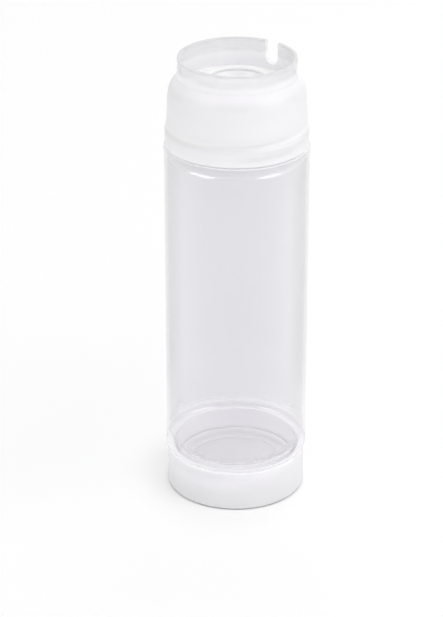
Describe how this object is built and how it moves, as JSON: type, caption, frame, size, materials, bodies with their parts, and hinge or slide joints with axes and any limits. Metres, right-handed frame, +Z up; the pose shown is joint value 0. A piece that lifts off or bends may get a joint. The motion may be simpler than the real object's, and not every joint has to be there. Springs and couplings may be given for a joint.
{
  "type": "condiment squeeze bottle",
  "caption": "Clear squeeze bottle that opens at both ends, with a screw refill cap below and a milky dispensing cap with crown, drip notch and slit valve on top.",
  "frame": {"origin": "on the bottle's axis, at the level that the refill cap's foot rests on", "axes": "+Z up the bottle's axis, from the refill cap to the crown; the picture looks along +Y from above, and the notch is behind on the right, 38 degrees from +Y towards +X"},
  "size_m": [0.072, 0.072, 0.2318],
  "materials": {
    "clear_plastic": "clear, smooth",
    "milky_plastic": "translucent white, satin",
    "silicone": "soft, translucent white"
  },
  "bodies": {
    "refill_cap": {"refill_cap": "milky_plastic"},
    "refill_seal": {"refill_seal": "silicone"},
    "bottle": {"bottle": "clear_plastic"},
    "dispensing_seal": {"dispensing_seal": "silicone"},
    "dispensing_cap": {"dispensing_cap": "milky_plastic", "valve": "silicone", "valve_retainer": "milky_plastic"},
    "valve_flap_1": {"valve_flap_1": "silicone"},
    "valve_flap_2": {"valve_flap_2": "silicone"},
    "valve_flap_3": {"valve_flap_3": "silicone"},
    "valve_flap_4": {"valve_flap_4": "silicone"}
  },
  "joints": [
    {"name": "refill_turn", "type": "hinge", "parent": "refill_cap", "child": "refill_seal", "pos_m": [0, 0, 0.0105], "axis": [0, 0, 1], "range_deg": [0, 315]},
    {"name": "refill_climb", "type": "slide", "parent": "refill_seal", "child": "bottle", "axis": [0, 0, 1], "range_m": [0, 0.0105]},
    {"name": "dispensing_climb", "type": "slide", "parent": "bottle", "child": "dispensing_seal", "axis": [0, 0, 1], "range_m": [0, 0.03]},
    {"name": "dispensing_turn", "type": "hinge", "parent": "dispensing_seal", "child": "dispensing_cap", "pos_m": [0, 0, 0.2156], "axis": [0, 0, 1], "range_deg": [0, 900]},
    {"name": "flap_1_open", "type": "hinge", "parent": "dispensing_cap", "child": "valve_flap_1", "pos_m": [0.00488, 0, 0.2157], "axis": [0, 1, 0], "range_deg": [0, 50], "stiffness_Nm_per_rad": 0.0005},
    {"name": "flap_2_open", "type": "hinge", "parent": "dispensing_cap", "child": "valve_flap_2", "pos_m": [0, 0.00488, 0.2157], "axis": [-1, 0, 0], "range_deg": [0, 50], "stiffness_Nm_per_rad": 0.0005},
    {"name": "flap_3_open", "type": "hinge", "parent": "dispensing_cap", "child": "valve_flap_3", "pos_m": [-0.00488, 0, 0.2157], "axis": [0, -1, 0], "range_deg": [0, 50], "stiffness_Nm_per_rad": 0.0005},
    {"name": "flap_4_open", "type": "hinge", "parent": "dispensing_cap", "child": "valve_flap_4", "pos_m": [0, -0.00488, 0.2157], "axis": [1, 0, 0], "range_deg": [0, 50], "stiffness_Nm_per_rad": 0.0005}
  ],
  "couplings": [
    {"joint": "refill_turn", "follows": "refill_climb", "rad_per_m": 523.6},
    {"joint": "dispensing_turn", "follows": "dispensing_climb", "rad_per_m": 523.6},
    {"joint": "flap_2_open", "follows": "flap_1_open", "ratio": 1},
    {"joint": "flap_3_open", "follows": "flap_1_open", "ratio": 1},
    {"joint": "flap_4_open", "follows": "flap_1_open", "ratio": 1}
  ]
}
